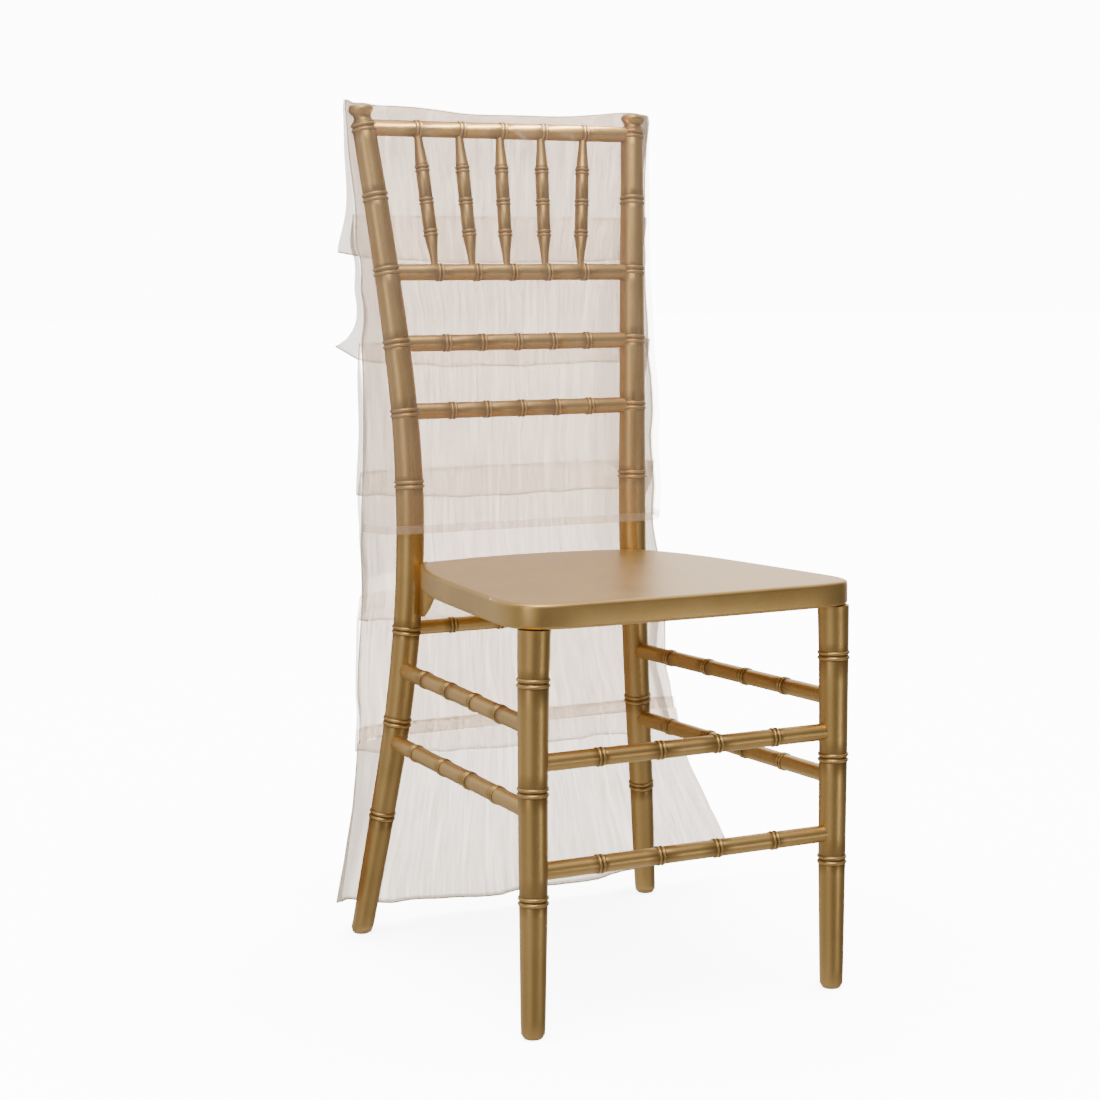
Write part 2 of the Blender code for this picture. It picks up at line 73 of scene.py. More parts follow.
# The studio: a seamless white sweep, very bright behind the chair and under it, with dim walls on
# the camera's side. The floor is matt white and has its own lamp, so that it stays as white as the
# sweep and still takes the chair's soft shadow.
class Wire:
    """One output of a shader's nodes. Arithmetic on it adds Math nodes, and node() adds any other."""

    def __init__(self, tree, socket=None):
        self.tree = tree
        self.socket = socket

    def node(self, kind, settings=(), inputs=(), output=0):
        made = self.tree.nodes.new(kind)
        for key, value in dict(settings).items():
            setattr(made, key, value)
        for key, value in dict(inputs).items():
            if isinstance(value, Wire):
                self.tree.links.new(value.socket, made.inputs[key])
            else:
                made.inputs[key].default_value = value
        return Wire(self.tree, made.outputs[output])

    def math(self, operation, *values):
        return self.node("ShaderNodeMath", {"operation": operation}, dict(enumerate(values)))

    def __add__(self, other):
        return self.math("ADD", self, other)

    def __sub__(self, other):
        return self.math("SUBTRACT", self, other)

    def __mul__(self, other):
        return self.math("MULTIPLY", self, other)

    def __rsub__(self, other):
        return self.math("SUBTRACT", other, self)

    __radd__ = __add__
    __rmul__ = __mul__

    def ramp(self, low, high):
        """0 below low and 1 above high, with soft ends."""
        ranged = {"Value": self, "From Min": low, "From Max": high}
        return self.node("ShaderNodeMapRange", {"interpolation_type": "SMOOTHSTEP"}, ranged)

    def colours(self, first, second):
        """From the first colour to the second, by this share."""
        return self.node("ShaderNodeMix", {"data_type": "RGBA"}, {0: self, 6: first, 7: second}, 2)


# How bright the sweep looks, and how bright the dim room is that the chair reflects.
WHITE = 12.5
ROOM = 0.145
ROOM_LIGHTS = (
    # a bright part of the room: its direction, the cosines where it starts and is full, what it adds
    ((0.60, 0.79, 0.12), 0.72, 0.97, 1.00),
    ((0.15, 0.97, 0.20), 0.10, 0.90, 0.50),
    ((-0.99, 0.10, 0.05), 0.30, 0.90, 0.26),
    ((-0.80, -0.60, 0.02), 0.89, 0.98, 0.36),
    ((0.42, -0.89, -0.18), 0.80, 0.98, 0.12),
    ((0.10, 0.30, 0.95), 0.30, 0.95, 0.68),
    ((0.45, -0.42, 0.79), 0.88, 0.98, 0.30),
    ((0.45, 0.40, 0.80), 0.86, 0.98, 0.25),
    ((0.00, 0.00, -1.00), 0.30, 0.95, 0.62),
)
world = bpy.data.worlds.new("studio")
bpy.context.scene.world = world
world.use_nodes = True
sky = Wire(world.node_tree)
direction = sky.node("ShaderNodeTexCoord", output=0)
axes = [direction.node("ShaderNodeSeparateXYZ", inputs={0: direction}, output=n) for n in range(3)]
room = ROOM
for toward, starts, full, adds in ROOM_LIGHTS:
    length = math.sqrt(sum(value**2 for value in toward))
    facing = sum(axis * (value / length) for axis, value in zip(axes, toward))
    room = room + adds * facing.ramp(starts, full)
seen = sky.node("ShaderNodeLightPath", output=0)
backdrop = world.node_tree.nodes["Background"]
world.node_tree.links.new((seen * WHITE + (1.0 - seen) * room).socket, backdrop.inputs["Strength"])
backdrop.inputs["Color"].default_value = (1.0, 1.0, 1.0, 1.0)

SOFT_BOXES = (
    # name, place, aimed at, width, height, watts
    ("left_soft_box", (-2.2, -1.2, 1.2), (0.0, 0.1, 0.5), 0.7, 1.6, 6.5),
    ("high_soft_box", (-0.8, -1.5, 2.9), (0.0, 0.15, 0.6), 2.0, 1.4, 60.0),
    ("low_soft_box", (0.62, -1.35, -0.03), (0.0, 0.0, 0.25), 0.40, 0.26, 1.1),
    ("top_soft_box", (-0.3, 0.4, 2.8), (0.0, 0.1, 0.4), 1.8, 1.6, 16.0),
)


def hang_lamp(name, place, toward, width, tall, watts):
    """A soft rectangular lamp at this place that faces this way. The camera doesn't see it."""
    light = bpy.data.lights.new(name, "AREA")
    light.shape = "RECTANGLE"
    light.size = width
    light.size_y = tall
    light.energy = watts
    lamp = bpy.data.objects.new(name, light)
    lamp.location = place
    lamp.rotation_euler = toward.to_track_quat("-Z", "Y").to_euler()
    lamp.visible_camera = False
    bpy.context.scene.collection.objects.link(lamp)
    return lamp


for name, place, aim, width, tall, watts in SOFT_BOXES:
    hang_lamp(name, place, Vector(aim) - Vector(place), width, tall, watts)

# Slim strip lights hang close over the chair's back: one for all its rails, one for the top rail.
STRIP_AIM = Vector((0.0, 0.411, 0.890))
STRIP_LENGTH = 0.55
STRIP_WIDTH = 0.05
STRIPS = (
    # name, place, watts, the pieces it lights
    ("rails_strip", (0.098, 0.335, 1.068), 0.6,
     ("top_rail", "second_rail", "third_rail", "fourth_rail")),
    ("top_strip", (0.090, 0.341, 1.054), 3.4, ("top_rail",)),
)
strip_lamps = []
for name, place, watts, nodes in STRIPS:
    toward = STRIP_AIM - Vector(place)
    lamp = hang_lamp(name, Vector(place) + CHAIR_PLACE, toward, STRIP_LENGTH, STRIP_WIDTH, watts)
    lamp.light_linking.receiver_collection = bpy.data.collections.new(name + "_only")
    strip_lamps.append((lamp, nodes))

# A low lamp behind the chair gives the seat's top its sheen. The seat and the two rear posts can
# shade it, and the cover's cloth can't.
SHEEN_AT = Vector((1.10, 2.30, 0.85))
SHEEN_AIM = Vector((0.0, 0.0, 0.42))
SHEEN_WIDTH = 2.2
SHEEN_TALL = 1.0
SHEEN_WATTS = 4.5
sheen_lamp = hang_lamp(
    "sheen_lamp", SHEEN_AT, SHEEN_AIM - SHEEN_AT, SHEEN_WIDTH, SHEEN_TALL, SHEEN_WATTS
)
seat_only = bpy.data.collections.new("seat_only")
sheen_lamp.light_linking.receiver_collection = seat_only
sheen_blockers = bpy.data.collections.new("sheen_blockers")
sheen_lamp.light_linking.blocker_collection = sheen_blockers


def new_surface(name):
    """A new material, its Principled shader, and a wire that adds nodes to it."""
    material = bpy.data.materials.new(name)
    material.use_nodes = True
    return material, material.node_tree.nodes["Principled BSDF"], Wire(material.node_tree)


def feed(shader, **sockets):
    """Links wires to the shader's sockets, and sets plain values on the others."""
    for name, value in sockets.items():
        socket = shader.inputs[name.replace("_", " ")]
        if isinstance(value, Wire):
            value.tree.links.new(value.socket, socket)
        else:
            socket.default_value = value


FLOOR_GLOW = 0.5
FLOOR_PAINT = 0.93
FLOOR_HALF = 60.0
FLOOR_LAMP_ANGLE = math.radians(110)
sweep_material, sweep_shader, sweep = new_surface("white_sweep")
mottle = sweep.node("ShaderNodeTexNoise", inputs={"Scale": 3.0}, output=0)
feed(
    sweep_shader,
    Base_Color=mottle.colours((0.92, 0.92, 0.92, 1.0), (0.94, 0.94, 0.94, 1.0)),
    Roughness=0.9,
    Specular_IOR_Level=0.0,
    Emission_Color=(1.0, 1.0, 1.0, 1.0),
    Emission_Strength=FLOOR_GLOW * WHITE,
)
work = bmesh.new()
bmesh.ops.create_grid(work, x_segments=2, y_segments=2, size=FLOOR_HALF)
floor_mesh = bpy.data.meshes.new("floor")
work.to_mesh(floor_mesh)
work.free()
floor_mesh.materials.append(sweep_material)
floor = bpy.data.objects.new("floor", floor_mesh)
floor.visible_diffuse = False
floor.visible_glossy = False
floor.visible_shadow = False
floor_only = bpy.data.collections.new("floor_only")
bpy.context.scene.collection.children.link(floor_only)
floor_only.objects.link(floor)
floor_light = bpy.data.lights.new("floor_lamp", "SUN")
floor_light.energy = (1.0 - FLOOR_GLOW) * WHITE * math.pi / FLOOR_PAINT
floor_light.angle = FLOOR_LAMP_ANGLE
floor_lamp = bpy.data.objects.new("floor_lamp", floor_light)
floor_lamp.light_linking.receiver_collection = floor_only
bpy.context.scene.collection.objects.link(floor_lamp)


# Gold paint: satin, sprayed over turned wood. Painted shade darkens it in the grooves between the
# rings and under the finials' caps, while the crests keep the plain gold. The feet are scuffed dark at
# their ends, and the paint has chipped to the pale primer along the seat's edge.
THIN_GOLD = (0.570, 0.350, 0.112, 1.0)
FULL_GOLD = (0.650, 0.410, 0.142, 1.0)
BRIGHT_FLAKE = (0.72, 0.53, 0.30, 1.0)
# The dark brown of the painted shade in the grooves and under the finials' caps, also used for the
# scuffed feet.
SHADE_AND_SCUFF_BROWN = (0.13, 0.065, 0.022, 1.0)
PALE_PRIMER = (0.72, 0.62, 0.48, 1.0)
gold, gold_shader, paint = new_surface("gold_paint_satin")
where = paint.node("ShaderNodeTexCoord", output=3)
cloudy = paint.node("ShaderNodeTexNoise", inputs={"Vector": where, "Scale": 14.0, "Detail": 3.0})
flake = paint.node("ShaderNodeTexNoise", inputs={"Vector": where, "Scale": 1400.0, "Detail": 2.0})
orange_peel = paint.node("ShaderNodeTexNoise", inputs={"Vector": where, "Scale": 420.0})
# Where painted shade darkens the gold, in the grooves and under the finials' caps, and where the feet
# are scuffed.
shade_and_scuff = paint.node("ShaderNodeAttribute", {"attribute_name": "shade_and_scuff"}, output=2)
chip_at = paint.node("ShaderNodeAttribute", {"attribute_name": "chip"}, output=2)
chip_noise = paint.node("ShaderNodeTexNoise", inputs={"Vector": where, "Scale": 170.0, "Detail": 4.0})
chipped = (chip_at * 0.50 + chip_noise).ramp(1.03, 1.07)
coat = cloudy.ramp(0.3, 0.7).colours(THIN_GOLD, FULL_GOLD)
coat = (flake.ramp(0.45, 0.75) * 0.35).colours(coat, BRIGHT_FLAKE)
# Painted shade: the gold is darkened towards the brown in the grooves and under the finials' caps, and
# at the scuffed feet.
coat = (shade_and_scuff * 0.85).colours(coat, SHADE_AND_SCUFF_BROWN)
coat = chipped.colours(coat, PALE_PRIMER)
skin = orange_peel * 0.7 + flake * 0.3
feed(
    gold_shader,
    Base_Color=coat,
    Metallic=0.92 - 0.90 * chipped,
    Roughness=0.33 + 0.10 * cloudy + 0.15 * chipped,
    Normal=paint.node("ShaderNodeBump", inputs={"Strength": 0.16, "Distance": 0.0004, "Height": skin}),
    Specular_IOR_Level=0.3,
)


# The two rear posts: turned sticks of painted wood, steam-bent so that they rake back above the seat
# and below it. Each has ring pairs turned on it, a mushroom finial at the top and a chamfered foot.
POST_ROWS = (
    # z, x, y, radius
    (0.0000, 0.1820, 0.4139, 0.0121),
    (0.0660, 0.1735, 0.4030, 0.0128),
    (0.1379, 0.1642, 0.3911, 0.0135),
    (0.2440, 0.1511, 0.3761, 0.0145),
    (0.3460, 0.1422, 0.3670, 0.0149),
    (0.4250, 0.1384, 0.3637, 0.0152),
    (0.5057, 0.1380, 0.3639, 0.0153),
    (0.5831, 0.1406, 0.3678, 0.0146),
    (0.6574, 0.1452, 0.3763, 0.0142),
    (0.7353, 0.1512, 0.3872, 0.0136),
    (0.8148, 0.1582, 0.3989, 0.0132),
    (0.8907, 0.1652, 0.4115, 0.0127),
    (0.9122, 0.1679, 0.4138, 0.0125),
)
POST_RINGS = (0.1379, 0.2440, 0.3460, 0.5057, 0.5831, 0.6574, 0.7353, 0.8148, 0.8895)
POST_STEP = 0.012
FINIAL = (
    # z, radius, painted shade under the cap
    (0.8958, 0.0113, 0.5),
    (0.8972, 0.0104, 0.6),
    (0.8990, 0.0097, 0.5),
    (0.9008, 0.0096, 0.4),
    (0.9024, 0.0101, 0.3),
    (0.9037, 0.0112, 0.2),
    (0.9047, 0.0124, 0.1),
    (0.9058, 0.0131, 0.0),
    (0.9072, 0.0134, 0.0),
    (0.9088, 0.0133, 0.0),
    (0.9102, 0.0127, 0.0),
    (0.9112, 0.0115, 0.0),
    (0.9119, 0.0088, 0.0),
    (0.9123, 0.0045, 0.0),
)
# The left finial stands a little taller than the right one.
FINIAL_STRETCH = {-1: 1.12, 1: 1.0}
FOOT_TOP = 0.006
FOOT = (
    # z, radius, how scuffed: a scuffed end grain inside a chamfer
    (0.0, 0.0086, 0.9),
    (0.0005, 0.0093, 0.8),
    (0.0026, 0.0106, 0.35),
    (0.0047, 0.0118, 0.1),
)
# One ring pair: distance along the stick and height, in millimetres, and how much painted shade darkens
# it, most in the grooves.
BEADS = (
    (-5.1, 0.00, 0.5),
    (-4.7, -0.20, 1.0),
    (-4.3, 0.25, 0.7),
    (-3.8, 1.05, 0.1),
    (-2.8, 1.35, 0.0),
    (-1.8, 1.15, 0.1),
    (-1.1, 0.30, 0.6),
    (-0.5, -0.15, 1.0),
    (0.5, -0.15, 1.0),
    (1.1, 0.30, 0.6),
    (1.8, 1.15, 0.1),
    (2.8, 1.35, 0.0),
    (3.8, 1.05, 0.1),
    (4.3, 0.25, 0.7),
    (4.7, -0.20, 1.0),
    (5.1, 0.00, 0.5),
)
RING_CLEAR = 0.001
SIDES = 36


def along(rows, at, column):
    """This column of the table, read off smoothly at these places along its first column."""
    table = np.array(sorted(rows), float)
    places, values = table[:, 0], table[:, column]
    before = np.concatenate([[0], np.arange(len(places) - 1)])
    after = np.concatenate([np.arange(1, len(places)), [len(places) - 1]])
    slopes = (values[after] - values[before]) / (places[after] - places[before])
    at = np.clip(at, places[0], places[-1])
    low = np.clip(np.searchsorted(places, at, side="right") - 1, 0, len(places) - 2)
    span = places[low + 1] - places[low]
    share = (at - places[low]) / span
    return (
        (2 * share**3 - 3 * share**2 + 1) * values[low]
        + (share**3 - 2 * share**2 + share) * slopes[low] * span
        + (3 * share**2 - 2 * share**3) * values[low + 1]
        + (share**3 - share**2) * slopes[low + 1] * span
    )


def post_point(z, side):
    return Vector((side * along(POST_ROWS, z, 1), along(POST_ROWS, z, 2), z))


def ringed(length, rings, radius_at, scale=1.0, step=0.02):
    """(place, radius, painted shade) rows of a stick with ring pairs at these places along it."""
    rows = [
        (ring + at * scale / 1000, radius_at(ring) + rise * scale / 1000, dark)
        for ring in rings
        for at, rise, dark in BEADS
    ]
    reach = BEADS[-1][0] * scale / 1000 + RING_CLEAR
    for place in np.arange(0.0, length, step):
        if all(abs(place - ring) > reach for ring in rings):
            rows.append((place, radius_at(place), 0.0))
    return sorted(rows + [(length, radius_at(length), 0.0)])


def turned(name, rows, node):
    """A round stick through (centre, radius, painted shade and scuff) rows, with flat ends, painted
    gold.
    """
    work = bmesh.new()
    dark = work.verts.layers.float.new("shade_and_scuff")
    rings = []
    for index, (centre, radius, shade_and_scuff_here) in enumerate(rows):
        before = rows[max(index - 1, 0)][0]
        after = rows[min(index + 1, len(rows) - 1)][0]
        tangent = (after - before).normalized()
        across = tangent.orthogonal().normalized() if index == 0 else across
        across = (across - across.dot(tangent) * tangent).normalized()
        other = tangent.cross(across)
        ring = []
        for turn in range(SIDES):
            angle = 2 * math.pi * turn / SIDES
            spoke = math.cos(angle) * across + math.sin(angle) * other
            vertex = work.verts.new(centre + CHAIR_PLACE + radius * spoke)
            # Painted shade in the grooves and scuff at the feet: how much the gold is darkened here.
            vertex[dark] = shade_and_scuff_here
            ring.append(vertex)
        rings.append(ring)
    for low, high in zip(rings, rings[1:]):
        for turn in range(SIDES):
            other_turn = (turn + 1) % SIDES
            work.faces.new((low[turn], low[other_turn], high[other_turn], high[turn]))
    for end in (rings[0][::-1], rings[-1]):
        for edge in work.faces.new(end).edges:
            edge.smooth = False
    return painted(name, work, node)


def painted(name, work, node):
    """The finished gold piece of the chair from this mesh."""
    bmesh.ops.recalc_face_normals(work, faces=work.faces)
    mesh = bpy.data.meshes.new(name)
    work.to_mesh(mesh)
    work.free()
    mesh.shade_smooth()
    mesh.materials.append(gold)
    piece = bpy.data.objects.new(name, mesh)
    bpy.context.scene.collection.objects.link(piece)
    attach(piece, "root")
    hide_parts(node)
    return piece


def post_radius(z):
    return float(np.interp(z, [row[0] for row in POST_ROWS], [row[3] for row in POST_ROWS]))


HANDS = ((-1, "left"), (1, "right"))
neck = FINIAL[0][0]
for side, word in HANDS:
    rows = ringed(neck, POST_RINGS, post_radius, step=POST_STEP)
    foot = post_point(0.0, side)
    stations = [(foot + Vector((0.0, 0.0, z)), radius, dark) for z, radius, dark in FOOT]
    stations += [(post_point(z, side), radius, dark) for z, radius, dark in rows if FOOT_TOP < z < neck]
    for z, radius, dark in FINIAL:
        stretched = neck + FINIAL_STRETCH[side] * (z - neck)
        stations.append((post_point(stretched, side), radius, dark))
    post = turned(f"post_{word}_turned", stations, f"rear_post_{word}")
    sheen_blockers.objects.link(post)


# The two front legs: straight turned sticks of painted wood, with three ring pairs and a chamfered
# foot each. They are doweled up into the seat.
LEG_ROWS = (
    # z, x, radius
    (0.0050, 0.1710, 0.0121),
    (0.1352, 0.1701, 0.0139),
    (0.2410, 0.1703, 0.0144),
    (0.3458, 0.1695, 0.0152),
    (0.3965, 0.1684, 0.0160),
)
LEG_RINGS = (0.1352, 0.2410, 0.3458)
LEG_FOOT = LEG_ROWS[0][0]
LEG_TOP = LEG_ROWS[-1][0]
# Both feet stand this far to the left of the legs' tops.
LEG_LEAN = 0.0018


def leg_point(z, side):
    lean = LEG_LEAN * (1.0 - z / LEG_TOP)
    x = np.interp(z, [row[0] for row in LEG_ROWS], [row[1] for row in LEG_ROWS])
    return Vector((side * x - lean, 0.0, z))


def leg_radius(z):
    return float(np.interp(z, [row[0] for row in LEG_ROWS], [row[2] for row in LEG_ROWS]))


for side, word in HANDS:
    rows = ringed(LEG_TOP, LEG_RINGS, leg_radius)
    foot = leg_point(LEG_FOOT, side) - Vector((0.0, 0.0, LEG_FOOT))
    stations = [(foot + Vector((0.0, 0.0, z)), radius, dark) for z, radius, dark in FOOT]
    stations += [(leg_point(z, side), radius, dark) for z, radius, dark in rows if z > FOOT_TOP]
    turned(f"leg_{word}_turned", stations, f"front_leg_{word}")


# The rails, spindles and rungs: thinner turned sticks with smaller ring pairs, glued into sockets in
# the posts, the legs and each other, so that their ends run on inside.
RAILS = (
    # node, z, radius, ring distances from the middle
    ("top_rail", 0.8898, 0.0088, (0.1033, 0.0505, 0.0)),
    ("second_rail", 0.7341, 0.0090, (0.0893, 0.0440, 0.0)),
    ("third_rail", 0.6574, 0.0089, (0.0866, 0.0435, 0.0)),
    ("fourth_rail", 0.5841, 0.0088, (0.0846, 0.0428, 0.0)),
    ("rear_rung", 0.3474, 0.0080, (0.0880, 0.0290)),
)
FRONT_RUNGS = (("front_rung_upper", 0.2675, 0.0087), ("front_rung_lower", 0.1622, 0.0087))
FRONT_RUNG_RINGS = (0.0990, 0.0325)
SIDE_RUNGS = (
    # node, z, radius, depth of each ring pair
    ("side_rung_upper", 0.3015, 0.0086, (0.2961, 0.2220, 0.1510, 0.0818)),
    ("side_rung_lower", 0.2203, 0.0086, (0.3081, 0.2276, 0.1574, 0.0853)),
)
SPINDLE_TOPS = (-0.1027, -0.0530, -0.0030, 0.0480, 0.1018)
SPINDLE_FEET = (-0.0932, -0.0482, -0.0065, 0.0408, 0.0850)
SPINDLE_RINGS = (0.8467, 0.8113, 0.7770)
SPINDLE_ROWS = (
    # share of the length, radius
    (0.00, 0.0030),
    (0.06, 0.0034),
    (0.16, 0.0053),
    (0.27, 0.0073),
    (0.50, 0.0074),
    (0.72, 0.0073),
    (0.85, 0.0056),
    (0.95, 0.0042),
    (1.00, 0.0040),
)
# The rings of the thin sticks are this much smaller than the posts' rings.
STICK_BEADS = 0.82


def even(radius):
    """The same radius all along a stick."""
    return lambda at: radius


def ring_places(length, distances):
    """Places of the ring pairs along a stick, from their distances on each side of its middle."""
    half = length / 2
    return sorted({half + away for away in distances} | {half - away for away in distances})


def stick(name, start, end, radius_at, rings, node):
    """A turned stick from start to end, with ring pairs at these distances from its start."""
    length = (end - start).length
    rows = ringed(length, rings, radius_at, STICK_BEADS)
    stations = [(start.lerp(end, at / length), radius, dark) for at, radius, dark in rows]
    made = turned(name, stations, node)
    for lamp, nodes in strip_lamps:
        if node in nodes:
            lamp.light_linking.receiver_collection.objects.link(made)


for node, z, radius, distances in RAILS:
    left, right_end = post_point(z, -1), post_point(z, 1)
    places = ring_places((right_end - left).length, distances)
    stick(node + "_turned", left, right_end, even(radius), places, node)
for node, z, radius in FRONT_RUNGS:
    left, right_end = leg_point(z, -1), leg_point(z, 1)
    places = ring_places((right_end - left).length, FRONT_RUNG_RINGS)
    stick(node + "_turned", left, right_end, even(radius), places, node)
for node, z, radius, depths in SIDE_RUNGS:
    for side, word in HANDS:
        front, rear = leg_point(z, side), post_point(z, side)
        length = (rear - front).length
        places = sorted(depth / rear.y * length for depth in depths)
        name = f"{node}_{word}"
        stick(name + "_turned", front, rear, even(radius), places, name)
for number, (top_x, foot_x) in enumerate(zip(SPINDLE_TOPS, SPINDLE_FEET), 1):
    top = Vector((top_x, post_point(RAILS[0][1], 1).y, RAILS[0][1]))
    foot = Vector((foot_x, post_point(RAILS[1][1], 1).y, RAILS[1][1]))
    length = (top - foot).length
    places = sorted((z - foot.z) / (top.z - foot.z) * length for z in SPINDLE_RINGS)
    stick(
        f"spindle_{number}_turned",
        foot,
        top,
        lambda at, length=length: float(along(SPINDLE_ROWS, at / length, 1)),
        places,
        f"spindle_{number}",
    )


# The seat: one flat wooden board with rounded corners and a softened edge, sprayed with the chair.
# Its top edge is knocked and chipped at the front left corner.
SEAT_UNDER = 0.3972
SEAT_TOP = 0.4217
SEAT_HALF = (
    # x, y
    (0.0000, -0.0250),
    (0.0900, -0.0230),
    (0.1500, -0.0200),
    (0.1795, -0.0080),
    (0.1905, 0.0200),
    (0.1875, 0.0700),
    (0.1825, 0.1200),
    (0.1755, 0.1850),
    (0.1680, 0.2400),
    (0.1560, 0.2900),
    (0.1400, 0.3290),
    (0.1235, 0.3490),
    (0.1000, 0.3550),
    (0.0500, 0.3650),
    (0.0000, 0.3680),
)
SEAT_EDGE = (
    # z, inset
    (SEAT_UNDER, 0.0030),
    (SEAT_UNDER + 0.0006, 0.0012),
    (SEAT_UNDER + 0.0020, 0.0002),
    (SEAT_UNDER + 0.0040, 0.0000),
    (SEAT_TOP - 0.0045, 0.0000),
    (SEAT_TOP - 0.0022, 0.0004),
    (SEAT_TOP - 0.0008, 0.0014),
    (SEAT_TOP - 0.0001, 0.0032),
    (SEAT_TOP, 0.0060),
    (SEAT_TOP, 0.0140),
)
CHIPPED_CORNER = Vector((-0.172, 0.050))
CHIPPED_REACH = 0.055
LIP_INSETS = (0.0003, 0.0020)
CURVE_STEPS = 10
outline = [Vector(point) for point in SEAT_HALF]
outline += [Vector((-x, y)) for x, y in SEAT_HALF[-2:0:-1]]
loop = []
for index in range(len(outline)):
    before, here, there, beyond = (outline[(index + step) % len(outline)] for step in (-1, 0, 1, 2))
    for step in range(CURVE_STEPS):
        t = step / CURVE_STEPS
        loop.append(0.5 * (
            2 * here + (there - before) * t
            + (2 * before - 5 * here + 4 * there - beyond) * t**2
            + (3 * here - before - 3 * there + beyond) * t**3
        ))
work = bmesh.new()
dark = work.verts.layers.float.new("shade_and_scuff")
worn = work.verts.layers.float.new("chip")
rings = []
for z, inset in SEAT_EDGE:
    ring = []
    for index, point in enumerate(loop):
        side_way = (loop[(index + 1) % len(loop)] - loop[index - 1]).normalized()
        inward = Vector((-side_way.y, side_way.x))
        spot = point + inset * inward
        vertex = work.verts.new(Vector((spot.x, spot.y, z)) + CHAIR_PLACE)
        near = math.exp(-((spot - CHIPPED_CORNER).length / CHIPPED_REACH) ** 2)
        on_lip = LIP_INSETS[0] < inset < LIP_INSETS[1] and z > (SEAT_UNDER + SEAT_TOP) / 2
        vertex[worn] = 0.45 + 0.55 * near if on_lip else 0.0
        ring.append(vertex)
    rings.append(ring)
for low, high in zip(rings, rings[1:]):
    for index in range(len(loop)):
        other = (index + 1) % len(loop)
        work.faces.new((low[index], low[other], high[other], high[index]))
work.faces.new(rings[0][::-1])
work.faces.new(rings[-1])
seat_board = painted("seat_board", work, "seat")
seat_only.objects.link(seat_board)
sheen_blockers.objects.link(seat_board)


# A wooden block ties each rear corner of the seat to its post, with a small arched bracket under it.
# Both are glued on and painted with the chair.
BLOCK_Y = (0.3400, 0.3660)
BLOCK_SOFTENING = 0.0012
BLOCK_PROFILE = (
    # x, z: round the front of the block and the curved bracket that hangs below it
    (0.1350, 0.3625),
    (0.1350, 0.4196),
    (0.1165, 0.4196),
    (0.1160, 0.3975),
    (0.1168, 0.3920),
    (0.1186, 0.3850),
    (0.1214, 0.3780),
    (0.1250, 0.3715),
    (0.1290, 0.3660),
    (0.1318, 0.3630),
)
for side, word in HANDS:
    work = bmesh.new()
    rings = []
    for y in BLOCK_Y:
        ring = [work.verts.new(Vector((side * x, y, z)) + CHAIR_PLACE) for x, z in BLOCK_PROFILE]
        rings.append(ring)
        work.faces.new(ring)
    for index in range(len(BLOCK_PROFILE)):
        other = (index + 1) % len(BLOCK_PROFILE)
        work.faces.new((rings[0][index], rings[0][other], rings[1][other], rings[1][index]))
    bmesh.ops.recalc_face_normals(work, faces=work.faces)
    sharp = [edge for edge in work.edges if edge.calc_face_angle(0.0) > math.radians(40)]
    bmesh.ops.bevel(
        work, geom=sharp, offset=BLOCK_SOFTENING, segments=2, profile=0.6, affect="EDGES"
    )
    block = painted(f"seat_block_{word}", work, f"seat_bracket_{word}")
    block.data.set_sharp_from_angle(angle=math.radians(35))


# The chiffon: a very thin ivory cloth, crinkled down its length, so that fine uneven streaks run from
# top to bottom. It looks denser in the back panel and the lowest tier than in the front panel and the
# other tiers, which show what is behind them.
FINE_CRINKLES = (430.0, 22.0, 1.0)
WIDE_CRINKLES = (140.0, 8.0, 1.0)
YARNS = (900.0, 900.0, 1.0)


